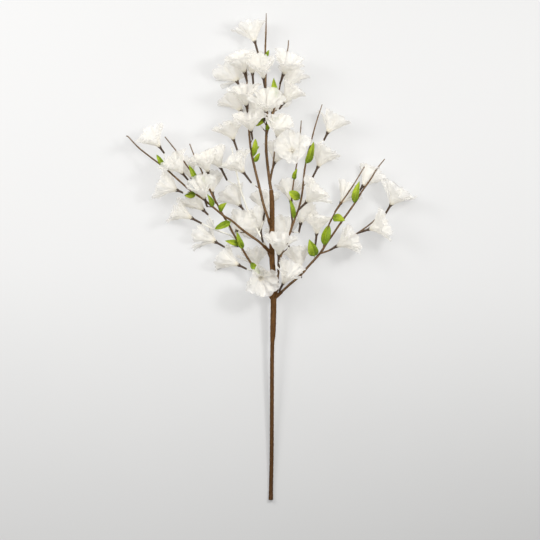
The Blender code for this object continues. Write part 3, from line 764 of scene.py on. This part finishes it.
class Bloom:
    def __init__(self, name, foot, base, spin, opening, length):
        draw = random.Random(name)
        fine = random.Random(name + " cloth")
        self.name = name
        self.petals = [Petal(draw, fine, k, spin, opening, length) for k in range(PETALS)]
        draw = random.Random(name + " inner")
        inner = spin + 180 / PETALS, opening - INNER_CLOSER, length * INNER_LENGTH, INNER_SEAT
        self.inner_petals = [Petal(draw, fine, k, *inner) for k in range(PETALS)]
        ahead = (Vector(base) - Vector(foot)).normalized()
        side = ahead.cross(UP).normalized()
        self.axes = Matrix((side, side.cross(ahead), ahead)).transposed().to_4x4()
        self.axes.translation = Vector(base) + ahead * (GAP + PETAL_THICKNESS / 2)

    def add_layer(self, shape, petals, tone):
        """One piece of cloth: a small hub with its four petals."""
        seat = petals[0].seat
        points = [Vector((0, 0, seat))]
        spots = [(0.0, 0.0, 0.0)]
        ring = PETALS * PETAL_COLUMNS
        for k, petal in enumerate(petals):
            left = petals[k - 1].azimuth + math.pi / PETALS
            if k == 0:
                left -= math.tau
            right = petal.azimuth + math.pi / PETALS
            for c in range(PETAL_COLUMNS):
                share = c / PETAL_COLUMNS * 2
                turn = (left + (petal.azimuth - left) * share if share < 1
                        else petal.azimuth + (right - petal.azimuth) * (share - 1))
                points.append(Vector((HUB_RADIUS * math.cos(turn), HUB_RADIUS * math.sin(turn), seat)))
                spots.append((points[-1].x, points[-1].y, 0.0))
        faces = [(0, 1 + i, 1 + (i + 1) % ring) for i in range(ring)]
        for k, petal in enumerate(petals):
            row = [1 + (k * PETAL_COLUMNS + c) % ring for c in range(PETAL_COLUMNS + 1)]
            roots = [points[i] for i in row]
            for r in range(1, PETAL_ROWS + 1):
                start = len(points)
                for c in range(PETAL_COLUMNS + 1):
                    u = math.sin(math.pi * (c / PETAL_COLUMNS - 0.5))
                    v = r / PETAL_ROWS * petal.reach(u)
                    place, half = petal.point(u, v)
                    points.append(roots[c].lerp(place, smooth_step(0.0, PETAL_ROOT, v)))
                    spots.append((u * half, v * petal.length, v))
                for c in range(PETAL_COLUMNS):
                    faces.append((row[c], start + c, start + c + 1, row[c + 1]))
                row = [start + c for c in range(PETAL_COLUMNS + 1)]
        points = [self.axes @ p for p in points]
        thin_sheet(shape, points, faces, CLOTH_THICKNESS, spots, [tone] * len(points))

    def build(self, look):
        """Two layers of cloth, the petals of one between those of the other."""
        draw = random.Random(self.name + " tone")
        shape = Shape()
        self.add_layer(shape, self.petals, draw.random())
        self.add_layer(shape, self.inner_petals, draw.random())
        shape.finish(self.name + "_cloth", look, self.name)


def leaf_half_width(t, widest):
    """Half width of a leaf over its greatest: a thin stalk, then an egg shape that ends in a point."""
    s = (t - LEAF_STALK) / (1 - LEAF_STALK)
    if s <= 0:
        return 0.0
    return (s / widest) ** (widest * 1.4) * (max(1 - s, 0) / (1 - widest)) ** ((1 - widest) * 1.4)


def add_leaf(shape, draw, root, tip, width):
    root = Vector(root)
    tip = Vector(tip)
    along = tip - root
    length = along.length
    ahead = along.normalized()
    side = ahead.cross(UP).normalized()
    up = side.cross(ahead)
    tone = draw.random()
    wave = draw.uniform(0.4, 1.0)
    phase = draw.uniform(0, math.tau)
    droop = draw.uniform(0.0, 0.10) * length
    widest = draw.uniform(*LEAF_WIDEST)
    fold = draw.uniform(*LEAF_FOLD)
    lean = draw.uniform(-LEAF_LEAN, LEAF_LEAN)
    bow = draw.uniform(-LEAF_BOW, LEAF_BOW) * length
    uneven = draw.uniform(-0.18, 0.18)
    points = []
    spots = []
    for row in range(LEAF_ROWS + 1):
        t = row / LEAF_ROWS
        half = max(width / 2 * leaf_half_width(t, widest), 0.55 * (1 - t) + 0.08)
        turn = lean * smooth_step(0.1, 0.7, t)
        across = side * math.cos(turn) + up * math.sin(turn)
        out = up * math.cos(turn) - side * math.sin(turn)
        teeth = 1 + LEAF_TOOTH * ((t * LEAF_TEETH) % 1.0 - 0.5) * smooth_step(0.2, 0.3, t)
        middle = root + along * t + up * (length * LEAF_ARCH * math.sin(math.pi * t) - droop * t**3)
        middle += side * bow * math.sin(math.pi * t)
        for column in range(LEAF_COLUMNS + 1):
            u = column / LEAF_COLUMNS * 2 - 1
            vein = LEAF_VEIN_HEIGHT * math.cos(math.tau * (t * LEAF_VEINS - abs(u) * half / length * 5))
            vein *= min(abs(u) * 3, 1) * (1 - t)
            rib = -LEAF_RIB_DEPTH * math.exp(-(u / LEAF_RIB_WIDTH) ** 2)
            edge = wave * u * u * math.sin(phase + 9 * t + (1.5 if u > 0 else 0))
            lift = half * fold * abs(u) + vein + rib + edge * min(half / 3, 1)
            reach = half * u * (teeth if abs(u) == 1 else 1) * (1 + (uneven if u > 0 else -uneven))
            points.append(middle + across * reach + out * lift)
            spots.append((u * half, t * length, t))
    faces = grid_faces(LEAF_ROWS, LEAF_COLUMNS)
    thin_sheet(shape, points, faces, LEAF_THICKNESS, spots, [tone] * len(points))


def build_twig(name, looks):
    """Bark, stalks, cups and sepals of a twig as one piece, its leaves as another, and its blooms."""
    bark = Shape()
    draw = random.Random(name + " bark")
    for number, route in enumerate(TWIGS[name]):
        line = curve_through(route, BARK_STEP)
        length = line_length(line)
        tone = pale_tone if (name, number) in PALE_BRANCHES else tip_tone(length)
        tube(bark, line, BARK_SIDES, bark_relief(draw, length), tone, end_cap=TWIG_TIP)
    for number, row in enumerate(BLOOMS[name], 1):
        bloom = Bloom(f"{name.removesuffix('_twig')}_bloom_{number}", *row)
        line = stalk_line(name, row[0], row[1])
        foot = line_length(line) + CUP_LIP_LENGTH - (Vector(row[1]) - Vector(row[0])).length
        tube(bark, line, STALK_SIDES, bark_relief(draw, 0), stalk_tone(name, line, foot))
        add_cup(bark, row[0], row[1])
        add_sepals(bark, bloom)
        bloom.build(looks["petal_cloth"])
    bark.finish(name.replace("twig", "bark"), looks["twig_bark"], name)
    leaves = Shape()
    for row in LEAVES.get(name, ()):
        add_leaf(leaves, draw, *row)
    if leaves.points:
        leaves.finish(name.replace("twig", "leaves"), looks["leaf"], name)


def add(tree, kind, inputs=None, **settings):
    """Shader node. An input is a number or a colour for its socket, or another node's output to link."""
    made = tree.nodes.new("ShaderNode" + kind)
    for key, value in settings.items():
        setattr(made, key, value)
    for key, value in (inputs or {}).items():
        if isinstance(value, bpy.types.NodeSocket):
            tree.links.new(value, made.inputs[key])
        else:
            made.inputs[key].default_value = (*value, 1.0) if isinstance(value, tuple) else value
    return made


def sums(tree, operation, a, b=0.0, c=0.0):
    """Result of one sum on numbers or outputs."""
    return add(tree, "Math", {0: a, 1: b, 2: c}, operation=operation).outputs[0]


def times(tree, a, b):
    return sums(tree, "MULTIPLY", a, b)


def spread(tree, value, low, high, to_low=0.0, to_high=1.0):
    """Value moved smoothly from one range to another, and kept inside it."""
    inputs = {"Value": value, "From Min": low, "From Max": high, "To Min": to_low, "To Max": to_high}
    return add(tree, "MapRange", inputs, interpolation_type="SMOOTHSTEP").outputs["Result"]


def mixed(tree, factor, a, b):
    """Two colours mixed."""
    return add(tree, "Mix", {"Factor": factor, 6: a, 7: b}, data_type="RGBA").outputs[2]


def grain(tree, place, scale, detail=2.0, roughness=0.5):
    inputs = {"Vector": place, "Scale": scale, "Detail": detail, "Roughness": roughness}
    return add(tree, "TexNoise", inputs).outputs["Fac"]


def placed(tree, x, y, z):
    return add(tree, "CombineXYZ", {0: x, 1: y, 2: z}).outputs[0]


def new_look(name):
    """Empty material, its node tree, the place on the surface as three numbers, and the tone."""
    made = bpy.data.materials.new(name)
    made.use_nodes = True
    tree = made.node_tree
    tree.nodes.clear()
    spot = add(tree, "Attribute", attribute_name="spot").outputs["Vector"]
    parts = add(tree, "SeparateXYZ", {0: spot}).outputs
    tone = add(tree, "Attribute", attribute_name="tone").outputs["Fac"]
    return made, tree, parts[0], parts[1], parts[2], tone


def finish_look(tree, colour, roughness, shine, height, depth, sheen=0.0, through=0.0, sheer=0.0):
    """Shader with bump from a height. Through and sheer are the shares of it that spread light to the
    other side of thin cloth and that let it straight through.
    """
    normal = add(tree, "Bump", {"Height": height, "Strength": 0.7, "Distance": depth * MM}).outputs[0]
    inputs = {"Base Color": colour, "Roughness": roughness, "Specular IOR Level": shine, "Normal": normal,
              "Sheen Weight": sheen, "Sheen Roughness": 0.5}
    shader = add(tree, "BsdfPrincipled", inputs).outputs[0]
    if through:
        behind = add(tree, "BsdfTranslucent", {"Color": colour, "Normal": normal}).outputs[0]
        shader = add(tree, "MixShader", {0: through, 1: shader, 2: behind}).outputs[0]
    if sheer:
        clear = add(tree, "BsdfTransparent", {"Color": SHEER_TINT}).outputs[0]
        shader = add(tree, "MixShader", {0: sheer, 1: shader, 2: clear}).outputs[0]
    add(tree, "OutputMaterial", {"Surface": shader})


def petal_cloth():
    """Thin white cloth: a fine weave, lengthwise pressed creases, and cream near the bloom's hub."""
    made, tree, x, y, v, tone = new_look("petal_cloth")
    weave = times(tree, sums(tree, "SINE", times(tree, x, 15.0)), sums(tree, "SINE", times(tree, y, 15.0)))
    crease = grain(tree, placed(tree, x, times(tree, y, 0.06), tone), 1.1, 3.0)
    blotch = grain(tree, placed(tree, x, y, times(tree, tone, 40.0)), 0.12, 2.0)
    height = sums(tree, "MULTIPLY_ADD", weave, 0.12, crease)
    base = mixed(tree, spread(tree, v, 0.02, 0.25), CLOTH_CREAM, CLOTH_WHITE)
    shade = spread(tree, sums(tree, "ADD", blotch, times(tree, crease, 0.5)), 0.45, 1.0)
    colour = mixed(tree, shade, base, CLOTH_SHADE)
    finish_look(tree, colour, 0.82, 0.2, height, 0.25, sheen=0.1, through=0.67, sheer=0.53)
    return made


def leaf_cloth():
    """Yellow-green cloth: darker at a leaf's root, paler along its veins, each leaf of its own shade, and
    painted shade over one half of the blade.
    """
    made, tree, x, y, t, tone = new_look("leaf_cloth")
    aside = sums(tree, "ABSOLUTE", x)
    blotch = grain(tree, placed(tree, x, y, times(tree, tone, 60.0)), 0.35, 3.0)
    green = mixed(tree, spread(tree, t, 0.05, 0.75), *LEAF_GREENS)
    green = mixed(tree, spread(tree, tone, 0.0, 1.0, 0.0, 0.6), green, LEAF_DEEP)
    green = mixed(tree, spread(tree, blotch, 0.42, 0.75, 0.0, 0.6), green, LEAF_BLOTCH)
    # painted shade over one half of the blade
    green = mixed(tree, spread(tree, x, -0.8, 0.8, 0.0, 0.4), green, LEAF_PAINTED_SHADE)
    rib = spread(tree, aside, 0.55, 0.15)
    slant = sums(tree, "SUBTRACT", y, times(tree, aside, 0.8))
    waves = sums(tree, "SINE", times(tree, slant, 2.2))
    veins = sums(tree, "MAXIMUM", rib, spread(tree, waves, 0.86, 1.0, 0.0, 0.5))
    colour = mixed(tree, times(tree, veins, 0.45), green, LEAF_VEIN)
    fibre = grain(tree, placed(tree, x, y, 0.0), 3.5, 2.0)
    height = sums(tree, "MULTIPLY_ADD", veins, -0.8, fibre)
    finish_look(tree, colour, 0.55, 0.35, height, 0.2, sheen=0.1, through=0.25)
    return made


def twig_bark():
    """Moulded twig: streaked brown bark, dark sleeves and cups, pale wires and pegs."""
    made, tree, along, y, z, tone = new_look("twig_bark")
    streaks = grain(tree, placed(tree, times(tree, along, 0.10), y, z), 1.3, 4.0, 0.6)
    speckle = grain(tree, placed(tree, along, y, z), 1.6, 2.0)
    bark = mixed(tree, spread(tree, streaks, 0.30, 0.72), *BARK_BROWNS)
    bark = mixed(tree, spread(tree, tone, -0.02, TIP_TONE, 0.0, 0.55), bark, BARK_TIP)
    cup = mixed(tree, spread(tree, speckle, 0.35, 0.7), *CUP_BROWNS)
    colour = mixed(tree, spread(tree, tone, 0.05, CUP_TONE - 0.05), bark, cup)
    colour = mixed(tree, spread(tree, tone, 0.7, PALE_TONE - 0.05), colour, PALE_WIRE)
    height = sums(tree, "MULTIPLY_ADD", speckle, 0.4, streaks)
    roughness = spread(tree, streaks, 0.3, 0.7, 0.75, 0.55)
    finish_look(tree, colour, roughness, 0.25, height, 0.35)
    return made


def stem_tape():
    """Waxed paper tape: crepe ribs across the winding, painted shade beside the overlaps, and dark towards
    the cut end.
    """
    made, tree, along, y, z, tone = new_look("stem_tape")
    streaks = grain(tree, placed(tree, times(tree, along, 0.16), y, z), 0.55, 4.0, 0.6)
    crepe = grain(tree, placed(tree, times(tree, along, 2.4), y, z), 0.9, 3.0)
    tape = mixed(tree, spread(tree, streaks, 0.30, 0.70), *TAPE_BROWNS)
    tape = mixed(tree, spread(tree, crepe, 0.45, 0.8, 0.0, 0.5), tape, TAPE_CREPE)
    upwards = add(tree, "SeparateXYZ", {0: add(tree, "TexCoord").outputs["Object"]}).outputs[1]
    tape = mixed(tree, spread(tree, upwards, *CUT_END_SHADE, 0.0, 0.5), tape, TAPE_CUT_END)
    # painted shade beside each free edge of the tape, and at its ends
    colour = mixed(tree, spread(tree, tone, 0.05, TAPE_LAP_SHADE_TONE), tape, TAPE_SHADE_AND_ENDS)
    colour = mixed(tree, spread(tree, tone, 0.6, 0.9), colour, WIRE_CORE)
    height = sums(tree, "MULTIPLY_ADD", crepe, 0.8, streaks)
    roughness = spread(tree, crepe, 0.3, 0.7, 0.72, 0.55)
    finish_look(tree, colour, roughness, 0.2, height, 0.3)
    return made


def build_stage():
    side = FLOOR_SIDE * MM / 2
    corners = [(-side, -side, 0), (side, -side, 0), (side, side, 0), (-side, side, 0)]
    mesh = bpy.data.meshes.new("floor")
    mesh.from_pydata(corners, [], [(0, 1, 2, 3)])
    floor = bpy.data.objects.new("floor", mesh)
    bpy.context.scene.collection.objects.link(floor)
    look = bpy.data.materials.new("pale_board")
    look.use_nodes = True
    tree = look.node_tree
    tree.nodes.clear()
    place = add(tree, "TexCoord").outputs["Object"]
    across, upwards, _ = add(tree, "SeparateXYZ", {0: place}).outputs
    distance = add(tree, "VectorMath", {0: place}, operation="LENGTH").outputs["Value"]
    mottle = grain(tree, place, 6.0, 3.0)
    paler = tuple(value * FLOOR_MOTTLE for value in FLOOR_COLOUR)
    colour = mixed(tree, spread(tree, mottle, 0.3, 0.7), FLOOR_COLOUR, paler)
    behind = spread(tree, upwards, *GLOW_BEHIND[:2])
    reach, change = GLOW_ACROSS
    glow = spread(tree, upwards, GLOW_LOW[0], GLOW_HIGH[0], GLOW_LOW[1], GLOW_HIGH[1])
    added = [
        spread(tree, across, -reach, reach, change, -change),
        times(tree, behind, GLOW_BEHIND[2]),
        spread(tree, upwards, *GLOW_PAST_END[:2], 0.0, GLOW_PAST_END[2]),
        spread(tree, distance, *GLOW_FAR[:2], 0.0, GLOW_FAR[2]),
    ]
    for more in added:
        glow = sums(tree, "ADD", glow, more)
    inputs = {"Base Color": mixed(tree, behind, colour, FLOOR_BEHIND), "Roughness": FLOOR_ROUGHNESS,
              "Specular IOR Level": FLOOR_SHINE, "Emission Color": GLOW_COLOUR, "Emission Strength": glow}
    shader = add(tree, "BsdfPrincipled", inputs).outputs[0]
    add(tree, "OutputMaterial", {"Surface": shader})
    mesh.materials.append(look)


def build_lights():
    for name, place, side, watts in LIGHTS:
        light = bpy.data.lights.new(name, "AREA")
        light.shape = "SQUARE"
        light.size = side * MM
        light.energy = watts
        lamp = bpy.data.objects.new(name, light)
        lamp.location = Vector(place) * MM
        lamp.rotation_euler = (-Vector(place)).to_track_quat("-Z", "Y").to_euler()
        lamp.visible_camera = False
        bpy.context.scene.collection.objects.link(lamp)
    sky = bpy.data.worlds.new("studio")
    sky.use_nodes = True
    shader = sky.node_tree.nodes["Background"]
    shader.inputs["Color"].default_value = (*SKY_COLOUR, 1.0)
    shader.inputs["Strength"].default_value = SKY_STRENGTH
    bpy.context.scene.world = sky


def build_camera():
    camera = bpy.data.cameras.new("camera")
    camera.sensor_width = SENSOR_WIDTH
    camera.lens = SENSOR_WIDTH * (CAMERA_HEIGHT - VIEW_MIDDLE[2]) / VIEW_WIDTH
    camera.clip_start = 0.05
    camera.clip_end = 200.0
    holder = bpy.data.objects.new("camera", camera)
    holder.location = Vector((VIEW_MIDDLE[0], VIEW_MIDDLE[1], CAMERA_HEIGHT)) * MM
    bpy.context.scene.collection.objects.link(holder)
    bpy.context.scene.camera = holder


for old in list(bpy.data.objects):
    bpy.data.objects.remove(old, do_unlink=True)
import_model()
bpy.context.scene.view_settings.view_transform = "Standard"
build_camera()
build_stage()
build_lights()
LOOKS = {"petal_cloth": petal_cloth(), "leaf": leaf_cloth(), "twig_bark": twig_bark()}
build_main_stem(stem_tape())
for twig in TWIGS:
    build_twig(twig, LOOKS)
